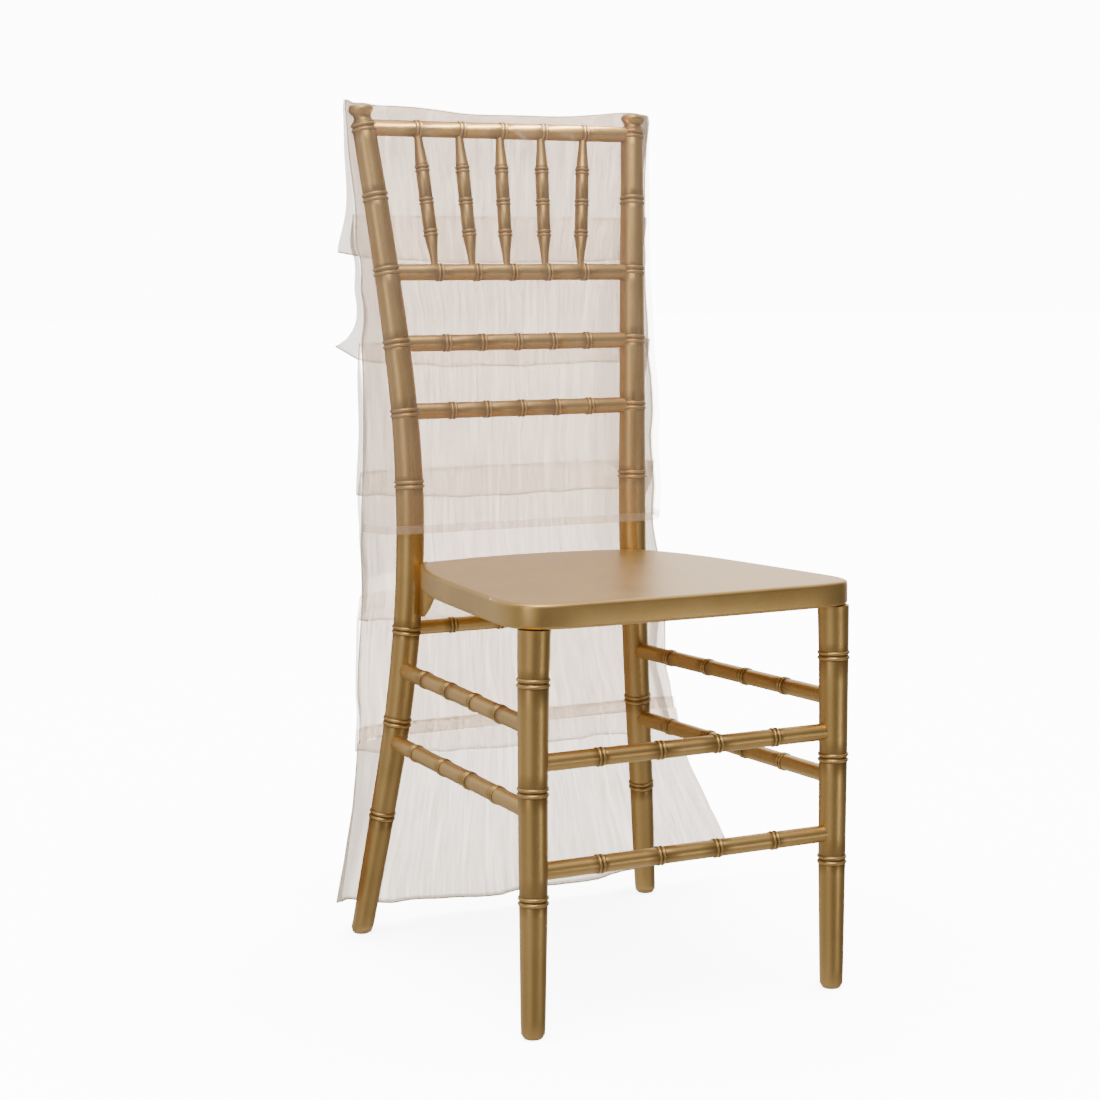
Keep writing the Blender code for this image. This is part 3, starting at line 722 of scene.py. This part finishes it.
def chiffon(name, tint, passed, cover, streaks):
    """One layer of the chiffon: its colour, the colour of the light that it lets through, how much
    of the light it stops, and how strong its streaks are."""
    material, shader, cloth = new_surface(name)
    lay = cloth.node("ShaderNodeUVMap", {"uv_map": "cloth"})
    fine_way = cloth.node("ShaderNodeMapping", inputs={"Vector": lay, "Scale": FINE_CRINKLES})
    wide_way = cloth.node("ShaderNodeMapping", inputs={"Vector": lay, "Scale": WIDE_CRINKLES})
    yarn_way = cloth.node("ShaderNodeMapping", inputs={"Vector": lay, "Scale": YARNS})
    fine = cloth.node("ShaderNodeTexNoise", inputs={"Vector": fine_way, "Scale": 1.0, "Detail": 3.0})
    wide = cloth.node("ShaderNodeTexNoise", inputs={"Vector": wide_way, "Scale": 1.0, "Detail": 2.0})
    yarn = cloth.node("ShaderNodeTexNoise", inputs={"Vector": yarn_way, "Scale": 1.0, "Detail": 1.0})
    dense = cloth.node("ShaderNodeAttribute", {"attribute_name": "dense"}, output=2)
    crease = 1.0 - cloth.math("ABSOLUTE", wide - 0.5).ramp(0.0, 0.05)
    streak = (fine - 0.5) * 1.6 + (wide - 0.5) * 1.2 - crease * 0.28 + 0.10
    # The colour is painted a little darker in the troughs of the fine crinkle, a painted shade.
    trough_shade_tint = tuple(0.94 * value for value in tint[:3]) + (1.0,)
    feed(
        shader,
        Base_Color=fine.ramp(0.35, 0.65).colours(trough_shade_tint, tint),
        Roughness=0.72 + 0.12 * yarn,
        Specular_IOR_Level=0.25,
        Sheen_Weight=0.15,
        Sheen_Roughness=0.5,
        Normal=cloth.node(
            "ShaderNodeBump",
            inputs={"Strength": 0.35, "Distance": 0.0008, "Height": fine * 0.7 + wide * 0.3},
        ),
    )
    holes = cloth.node("ShaderNodeBsdfTransparent", inputs={0: passed})
    solid = Wire(cloth.tree, shader.outputs[0])
    open_share = cloth.math("POWER", 1.0 - cover, 1.0 + dense)
    share = 1.0 - open_share * (1.0 + streaks * streak + 0.25 * (yarn - 0.5))
    mixed = cloth.node("ShaderNodeMixShader", inputs={0: share, 1: holes, 2: solid})
    cloth.tree.links.new(mixed.socket, cloth.tree.nodes["Material Output"].inputs[0])
    return material


IVORY = (0.84, 0.70, 0.54, 1.0)
CREAM = (0.86, 0.73, 0.53, 1.0)
front_chiffon = chiffon("front_chiffon", IVORY, (1.0, 0.97, 0.94, 1.0), 0.14, 0.12)
back_chiffon = chiffon("back_chiffon", IVORY, (1.0, 0.885, 0.79, 1.0), 0.81, 0.62)
tier_chiffon = chiffon("tier_chiffon", IVORY, (1.0, 0.955, 0.905, 1.0), 0.17, 0.25)
skirt_chiffon = chiffon("skirt_chiffon", CREAM, (1.0, 0.878, 0.778, 1.0), 0.825, 0.60)

# The cover's cut, which all its pieces share. Each row is a level of the back panel: where its left
# and right edges stand, how wide the turn is that brings the cloth from its flat middle to that edge,
# and the depth of the middle.
COVER_ROWS = (
    # z, left x, left y, left turn, right x, right y, right turn, middle y
    (0.9080, -0.1850, 0.4125, 0.0170, 0.1870, 0.4125, 0.0170, 0.4291),
    (0.8150, -0.1820, 0.4110, 0.0230, 0.1830, 0.4110, 0.0230, 0.4311),
    (0.7350, -0.1750, 0.4060, 0.0400, 0.1800, 0.4060, 0.0400, 0.4319),
    (0.6350, -0.1745, 0.4006, 0.0550, 0.1775, 0.4006, 0.0550, 0.4326),
    (0.5700, -0.1755, 0.3967, 0.0600, 0.1790, 0.3967, 0.0600, 0.4327),
    (0.4550, -0.1800, 0.3950, 0.0600, 0.1800, 0.3960, 0.0600, 0.4320),
    (0.3730, -0.1780, 0.3995, 0.0580, 0.1905, 0.4035, 0.0600, 0.4315),
    (0.2350, -0.1815, 0.4065, 0.0500, 0.2185, 0.4230, 0.0500, 0.4310),
    (0.1500, -0.1900, 0.3968, 0.0420, 0.2435, 0.4348, 0.0500, 0.4318),
    (0.0970, -0.1990, 0.3925, 0.0380, 0.2700, 0.4385, 0.0550, 0.4338),
    (0.0470, -0.2080, 0.3888, 0.0330, 0.2965, 0.4438, 0.0600, 0.4358),
    (0.0000, -0.2150, 0.3869, 0.0330, 0.3200, 0.4469, 0.0600, 0.4369),
)
LEFT_X, LEFT_Y, LEFT_TURN, RIGHT_X, RIGHT_Y, RIGHT_TURN, MIDDLE_Y = range(1, 8)
TOP_EDGE = (
    # x, z of the sewn top edge, which sags between the finials
    (-0.188, 0.9180),
    (-0.182, 0.9186),
    (-0.176, 0.9164),
    (-0.163, 0.9162),
    (-0.150, 0.9144),
    (-0.129, 0.9142),
    (-0.105, 0.9136),
    (-0.079, 0.9116),
    (-0.038, 0.9080),
    (0.019, 0.9083),
    (0.077, 0.9087),
    (0.120, 0.9118),
    (0.150, 0.9148),
    (0.170, 0.9150),
    (0.190, 0.9116),
)
# The sewn ridge along the top, and the shoulder over which the cloth bends up to it.
RIDGE_Y = 0.4150
RIDGE_LEVEL = 0.908
SHOULDER = 0.0100
BEND = 0.045
# The middle two thirds of a piece lie flat, and the rest turns round the chair's sides.
FLAT_SHARE = 2 / 3
FRONT_FLAT = 0.0040
FRONT_CLEAR = 0.0030
FINIAL_FOOT = 0.895
FINIAL_FRONT = 0.0128
GRID = 64


def lattice_noise(u, v, seed):
    """Smooth noise from -1 to 1 over a plane, the same each time for one seed."""
    grid = np.random.default_rng(seed).uniform(-1.0, 1.0, (GRID, GRID))
    low_u, low_v = np.floor(u).astype(int), np.floor(v).astype(int)
    share_u, share_v = u - low_u, v - low_v
    share_u = share_u * share_u * (3 - 2 * share_u)
    share_v = share_v * share_v * (3 - 2 * share_v)

    def corner(step_u, step_v):
        return grid[(low_u + step_u) % GRID, (low_v + step_v) % GRID]

    low = corner(0, 0) * (1 - share_u) + corner(1, 0) * share_u
    high = corner(0, 1) * (1 - share_u) + corner(1, 1) * share_u
    return low * (1 - share_v) + high * share_v


def crinkle(x, z, seed):
    """The cloth's crinkle: narrow ridges and troughs that run down it and wander a little."""
    wander = 0.004 * lattice_noise(x * 20, z * 14, seed + 5)
    fine = lattice_noise((x + wander) * 230, z * 16, seed)
    wide = lattice_noise((x + wander) * 75, z * 7, seed + 1)
    return 0.00050 * fine + 0.0009 * wide


EDGES = (
    # z, how far to the right of that cut the left edge and the right edge hang
    (0.0000, -0.0010, 0.0050),
    (0.2400, -0.0015, 0.0055),
    (0.2700, -0.0050, 0.0030),
    (0.3000, -0.0055, 0.0060),
    (0.3400, -0.0040, 0.0100),
    (0.3600, -0.0030, 0.0120),
    (0.3750, -0.0020, 0.0120),
    (0.4400, -0.0020, 0.0045),
    (0.4520, -0.0010, 0.0042),
    (0.4600, -0.0005, 0.0046),
    (0.4820, -0.0005, 0.0060),
    (0.4950, -0.0003, 0.0060),
    (0.5140, -0.0001, 0.0040),
    (0.5470, 0.0000, 0.0018),
    (0.5700, 0.0000, 0.0045),
    (0.6140, 0.0000, 0.0052),
    (0.6370, -0.0003, 0.0034),
    (0.6600, -0.0005, 0.0032),
    (0.6820, 0.0030, 0.0028),
    (0.7000, 0.0030, 0.0012),
    (0.7150, 0.0010, 0.0004),
    (0.7380, 0.0026, -0.0004),
    (0.7500, 0.0024, 0.0003),
    (0.7620, 0.0000, -0.0004),
    (0.7740, 0.0010, -0.0008),
    (0.7940, 0.0040, -0.0008),
    (0.8100, 0.0050, -0.0010),
    (0.8250, 0.0045, -0.0008),
    (0.8460, 0.0030, -0.0005),
    (0.8700, 0.0012, -0.0003),
    (0.9100, 0.0000, 0.0000),
)


def level(z, column):
    """This column of the cover's cut at these heights, with its edges moved to where they hang."""
    value = along(COVER_ROWS, z, column)
    if column == LEFT_X:
        return value + along(EDGES, z, 1)
    if column == RIGHT_X:
        return value + along(EDGES, z, 2)
    return value


def back_shape(share, z, lift=0.0, reach=90.0, left_flare=0.0, right_flare=0.0):
    """Points and outward directions on the cover's back, lifted this far off the back panel. The
    sides turn through reach degrees, and each one flares out by its own amount."""
    left_x, left_y, left_turn = level(z, LEFT_X), level(z, LEFT_Y), level(z, LEFT_TURN)
    right_x, right_y, right_turn = level(z, RIGHT_X), level(z, RIGHT_Y), level(z, RIGHT_TURN)
    middle = level(z, MIDDLE_Y)
    low, high = left_x + left_turn, right_x - right_turn
    flat_x = low + (high - low) * (np.clip(share / FLAT_SHARE, -1, 1) + 1) / 2
    angle = np.clip((np.abs(share) - FLAT_SHARE) / (1 - FLAT_SHARE), 0, 1) * np.radians(reach)
    side = np.where(share < 0, -1.0, 1.0)
    turn = np.where(share < 0, left_turn, right_turn)
    edge_y = np.where(share < 0, left_y, right_y)
    flare = np.where(share < 0, left_flare, right_flare)
    x = flat_x + side * ((turn + lift) * np.sin(angle) + flare * np.sin(angle) ** 2)
    y = edge_y + (middle + lift - edge_y) * np.cos(angle)
    points = np.stack([x, y, z + 0 * x], axis=1)
    outward = np.stack([side * np.sin(angle), np.cos(angle), 0 * x], axis=1)
    return points, outward


def front_shape(share, z):
    """Points and outward directions on the cover's front, which lies on the posts."""
    left_x, left_y = level(z, LEFT_X), level(z, LEFT_Y)
    right_x, right_y = level(z, RIGHT_X), level(z, RIGHT_Y)
    post_x, post_y = along(POST_ROWS, z, 1), along(POST_ROWS, z, 2)
    radius = np.interp(z, [row[0] for row in POST_ROWS], [row[3] for row in POST_ROWS])
    at_finial = np.where(z > FINIAL_FOOT, FINIAL_FRONT, 0.0)
    face = post_y - np.maximum(radius, at_finial) - FRONT_CLEAR
    start = post_x + FRONT_FLAT
    flat_x = start * np.clip(share / FLAT_SHARE, -1, 1)
    angle = np.clip((np.abs(share) - FLAT_SHARE) / (1 - FLAT_SHARE), 0, 1) * math.pi / 2
    side = np.where(share < 0, -1.0, 1.0)
    edge_x = np.where(share < 0, -left_x, right_x)
    edge_y = np.where(share < 0, left_y, right_y)
    x = flat_x + side * (edge_x - start) * np.sin(angle)
    y = edge_y - (edge_y - face) * np.cos(angle)
    outward = np.stack([side * np.sin(angle), -np.cos(angle), 0 * x], axis=1)
    return np.stack([x, y, z + 0 * x], axis=1), outward


def top_z(x):
    return along(TOP_EDGE, x, 1)


def shoulder_z(shape, share):
    """Where the cloth starts to hang straight, a shoulder below the sewn ridge."""
    at_ridge, _ = shape(share, np.full_like(share, RIDGE_LEVEL))
    return top_z(at_ridge[:, 0]) - SHOULDER


def past_shoulder(down):
    """The share of the straight hang that lies above this share of the whole piece."""
    return np.clip((down - BEND) / (1 - BEND), 0, 1)


def freed(below):
    """0 at the seam that holds the cloth, and 1 from a twelfth of the way down."""
    return np.clip(below * 12, 0, 1)


def soft_step(value, low, width):
    """0 below low and 1 from this width above it, with soft ends."""
    share = np.clip((value - low) / width, 0.0, 1.0)
    return share * share * (3 - 2 * share)


def over_the_top(points, down, lift=0.0):
    """Bends the first share of a piece over the shoulder and up to the sewn ridge."""
    bend = np.radians(90.0 * np.clip(1.0 - down / BEND, 0.0, 1.0))
    top = top_z(points[:, 0])
    bent = down < BEND
    y = RIDGE_Y + (points[:, 1] - RIDGE_Y) * np.cos(bend)
    z = top - SHOULDER + (SHOULDER + lift) * np.sin(bend)
    points[:, 1] = np.where(bent, y, points[:, 1])
    points[:, 2] = np.where(bent, z, points[:, 2])
    return points


def hung_cloth(name, columns, rows, shape, material, node, flat):
    """A sheet of cloth whose points and density come from shape(share across, share down)."""
    work = bmesh.new()
    work.loops.layers.uv.new("cloth")
    bmesh.ops.create_grid(work, x_segments=columns, y_segments=rows, size=1.0, calc_uvs=True)
    mesh = bpy.data.meshes.new(name)
    work.to_mesh(mesh)
    work.free()
    places = np.empty(len(mesh.vertices) * 3, np.float32)
    mesh.vertices.foreach_get("co", places)
    places = places.reshape(-1, 3).astype(float)
    points, dense = shape(places[:, 0], (1.0 - places[:, 1]) / 2)
    mesh.vertices.foreach_set("co", (points + np.array(CHAIR_PLACE)).astype(np.float32).ravel())
    mesh.attributes.new("dense", "FLOAT", "POINT").data.foreach_set("value", dense.astype(np.float32))
    lay = np.empty(len(mesh.loops) * 2, np.float32)
    mesh.uv_layers["cloth"].data.foreach_get("uv", lay)
    lay = lay.reshape(-1, 2) * np.array(flat, np.float32)
    mesh.uv_layers["cloth"].data.foreach_set("uv", lay.ravel())
    mesh.shade_smooth()
    mesh.materials.append(material)
    piece = bpy.data.objects.new(name, mesh)
    bpy.context.scene.collection.objects.link(piece)
    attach(piece, "root")
    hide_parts(node)
    return piece


# The front of the cover: one plain panel, sewn to the back along the top and both sides, with a wide
# double hem across its foot. It lies on the fronts of the posts.
FRONT_HEM = 0.4530
FRONT_HEM_DEPTH = 0.0090
FRONT_FOLD_START = 0.955
FOLD_THICKNESS = 0.0007
FOLD_TURN = 0.125
# How near the ridge and the sides the seams' double cloth lies, as shares of the piece.
RIDGE_SEAM = 0.012
FRONT_SIDE_SEAM = 0.985
BACK_SIDE_SEAM = 0.975
CREASES = (
    # x and z of the upper end, x and z of the lower end, half width, and how much denser the cloth is
    # drawn there, a painted sheen
    (-0.1050, 0.8918, -0.0862, 0.8790, 0.0018, 1.5),
    (0.0035, 0.8950, 0.0250, 0.8770, 0.0028, 2.6),
    (0.0640, 0.8930, 0.0855, 0.8790, 0.0022, 1.9),
    (0.1360, 0.8780, 0.1175, 0.8670, 0.0016, 1.2),
)
CREASE_HEIGHT = 0.0013


def creased(x, z):
    """How far each short crease stands up, from 0 to 1, and how much denser the cloth is drawn in it,
    which paints the crease's sheen.
    """
    ridge, painted_sheen = np.zeros_like(x), np.zeros_like(x)
    # lies: how much denser the crease is drawn, a painted sheen.
    for x_up, z_up, x_low, z_low, width, lies in CREASES:
        length = math.hypot(x_low - x_up, z_low - z_up)
        way_x, way_z = (x_low - x_up) / length, (z_low - z_up) / length
        run = ((x - x_up) * way_x + (z - z_up) * way_z) / length
        off = (x - x_up) * way_z - (z - z_up) * way_x
        ends = np.clip(4 * run, 0, 1) * np.clip(4 * (1 - run), 0, 1)
        here = ends * np.exp(-((off / width) ** 2))
        ridge += here
        painted_sheen += lies * here
    return ridge, painted_sheen


def front_cloth(share, down):
    """The front panel's points and how close its cloth lies, with the painted sheen of its creases, at
    these shares across and down.
    """
    folded = np.clip((down - FRONT_FOLD_START) / (1 - FRONT_FOLD_START), 0, 1)
    down = np.clip(down / FRONT_FOLD_START, 0, 1)
    start = shoulder_z(front_shape, share)
    below = past_shoulder(down)
    z = start + (FRONT_HEM - start) * below
    points, outward = front_shape(share, z)
    ridge, painted_sheen = creased(points[:, 0], z)
    raised = freed(below) * crinkle(points[:, 0], z, 11) + CREASE_HEIGHT * ridge
    points += outward * raised[:, None]
    points -= outward * (FOLD_THICKNESS * np.clip(folded / FOLD_TURN, 0, 1))[:, None]
    points[:, 2] += FRONT_HEM_DEPTH * np.clip((folded - FOLD_TURN) / (1 - FOLD_TURN), 0, 1)
    dense = np.where(z < FRONT_HEM + FRONT_HEM_DEPTH, 0.6, 0.0)
    dense = dense + np.where(down < RIDGE_SEAM, 1.4, 0.0)
    # The creases are drawn denser, which paints the sheen along them.
    dense = dense + 2.0 * (np.abs(share) > FRONT_SIDE_SEAM) + painted_sheen
    return over_the_top(points, down), dense


hung_cloth(
    "front_cloth", 320, 230, front_cloth, front_chiffon, "front_panel",
    (0.42, 0.475),
)


# The back of the cover: one plain panel of the chiffon, sewn to the front along the top and both
# sides. It ends just below the seam of the lowest tier, which is sewn to it.
BACK_HEM = 0.2160
BACK_CRINKLE = 0.7
SEAT_LEVEL = 0.4


def back_cloth(share, down):
    """The back panel's points and how close its cloth lies, at these shares across and down."""
    start = shoulder_z(back_shape, share)
    below = past_shoulder(down)
    z = start + (BACK_HEM - start) * below
    points, outward = back_shape(share, z)
    points += outward * (freed(below) * BACK_CRINKLE * crinkle(points[:, 0], z, 23))[:, None]
    turned_side = soft_step(np.abs(share), 0.60, 0.15)
    dense = np.where(z > SEAT_LEVEL, 0.2, 0.0) * turned_side
    dense = dense + 0.5 * (np.abs(share) > BACK_SIDE_SEAM)
    dense = dense + np.where(down < RIDGE_SEAM, 0.6, 0.0)
    return over_the_top(points, down), dense


hung_cloth(
    "back_cloth", 260, 220, back_cloth, back_chiffon, "back_panel",
    (0.44, 0.715),
)


# Six tiers of the chiffon, each gathered on to the back panel along its top edge and free at its
# sides and its hem, which hangs over the top of the next one down. The hems are narrow and rolled.
TIERS = (
    # name, seam z, hem z at the left, middle and right, lift, wave, folds, phase, left and right
    # flare, how far round the turn the side edges reach in degrees, and the seed of its crinkle
    ("tier_1", 0.0, 0.757, 0.746, 0.750, 0.013, 0.0020, 5.2, 0.4, 0.018, 0.005, 50.0, 31),
    ("tier_2", 0.797, 0.642, 0.629, 0.631, 0.012, 0.0024, 6.1, 1.7, 0.035, 0.005, 50.0, 37),
    ("tier_3", 0.658, 0.492, 0.481, 0.483, 0.012, 0.0024, 5.6, 2.9, -0.002, 0.000, 50.0, 41),
    ("tier_4", 0.517, 0.349, 0.343, 0.345, 0.012, 0.0026, 6.4, 4.2, -0.002, 0.000, 42.0, 43),
    ("tier_5", 0.381, 0.205, 0.188, 0.188, 0.012, 0.0028, 6.0, 5.3, -0.003, 0.002, 46.0, 47),
    ("tier_6", 0.231, 0.046, 0.014, 0.047, 0.004, 0.0044, 5.4, 0.9, 0.000, 0.000, 90.0, 53),
)
# The second tier's lower left corner is turned up a little.
RAISED_CORNERS = {"tier_2": 0.0115}
ROLL_START = 0.93
ROLL_RADIUS = 0.0008
ROLL_TURN = np.radians(330.0)
TOP_SEAM = 0.921
SEAM_LIFT = 0.0020
SEAM_DEPTH = 0.0025
HEM_DEPTH = 0.0025
GATHER_REACH = 0.016
# Past this share each tier's side folds lie close together, above the seat's level and below it.
CLOSED_FROM = {"tier_1": 0.80, "tier_2": 0.85}
CLOSED_ABOVE = 9.0
CLOSED_BELOW = 6.0


def tier_cloth(row):
    """The shape of one tier, as a function of the share across and the share down."""
    name, seam, hem_left, hem_middle, hem_right, lift, wave, folds, phase = row[:9]
    left_flare, right_flare, reach, seed = row[9:]
    from_ridge, lowest = seam == 0.0, name == "tier_6"

    def shape(share, down):
        rolled = ROLL_TURN * np.clip((down - ROLL_START) / (1 - ROLL_START), 0, 1)
        down = np.clip(down / ROLL_START, 0, 1)
        start, below = np.full_like(share, seam), down
        if from_ridge:
            start, below = shoulder_z(back_shape, share), past_shoulder(down)
        side_hem = np.where(share < 0, hem_left, hem_right)
        hem = hem_middle + (side_hem - hem_middle) * share**2
        hem = hem + 0.0012 * lattice_noise(share * 9, share * 0, seed + 2)
        hem = hem + RAISED_CORNERS.get(name, 0.0) * np.clip((-share - 0.88) / 0.12, 0.0, 1.0)
        z = start + (hem - start) * below
        out = SEAM_LIFT + lift * below ** (1.6 if from_ridge else 0.8)
        edge_reach = reach + (90.0 - reach) * (1 - below) ** 3
        tip = below ** (4 if from_ridge else 16)
        points, outward = back_shape(share, z, out, edge_reach, left_flare * tip, right_flare * tip)
        depth = np.sin(folds * np.pi * share + phase)
        depth += 0.6 * np.sin(folds * 1.7 * np.pi * share + 2.1 * phase)
        points[:, 1] += wave * depth * below**1.3
        gathers = 0.0010 * lattice_noise(points[:, 0] * 150, z * 8, seed + 3)
        gathers *= np.exp(-below * (start - hem) / GATHER_REACH) * (not from_ridge)
        points += outward * (freed(below) * (crinkle(points[:, 0], z, seed) + gathers))[:, None]
        points -= outward * (ROLL_RADIUS * (1 - np.cos(rolled)))[:, None]
        points[:, 2] -= ROLL_RADIUS * np.sin(rolled)
        if from_ridge:
            points = over_the_top(points, down, 0.0008)
        dense = np.where((1 - below) * (start - hem) < HEM_DEPTH, 0.5 if lowest else 1.2, 0.0)
        stitches = 0.5 + 0.5 * lattice_noise(points[:, 0] * 180, z * 0, seed + 4)
        at_seam = (below * (start - hem) < SEAM_DEPTH) & (not from_ridge)
        dense = dense + np.where(at_seam, (0.4 if lowest else 2.2) * stitches, 0.0)
        if lowest:
            left_side = np.clip((-share - 0.66) / 0.06, 0.0, 1.0)
            return points, dense + np.where(z > BACK_HEM, -0.72, 0.32 * left_side)
        closed_up = soft_step(np.abs(share), CLOSED_FROM.get(name, 0.90), 0.06)
        return points, dense + (CLOSED_ABOVE if hem_middle > SEAT_LEVEL else CLOSED_BELOW) * closed_up

    return shape


for row in TIERS:
    name, seam, _, hem_middle = row[:4]
    lowest = name == "tier_6"
    tall = (seam or TOP_SEAM) - hem_middle
    hung_cloth(
        name + "_cloth", 300, 100 if lowest else 76, tier_cloth(row),
        skirt_chiffon if lowest else tier_chiffon, name,
        (0.60 if lowest else 0.42, tall),
    )
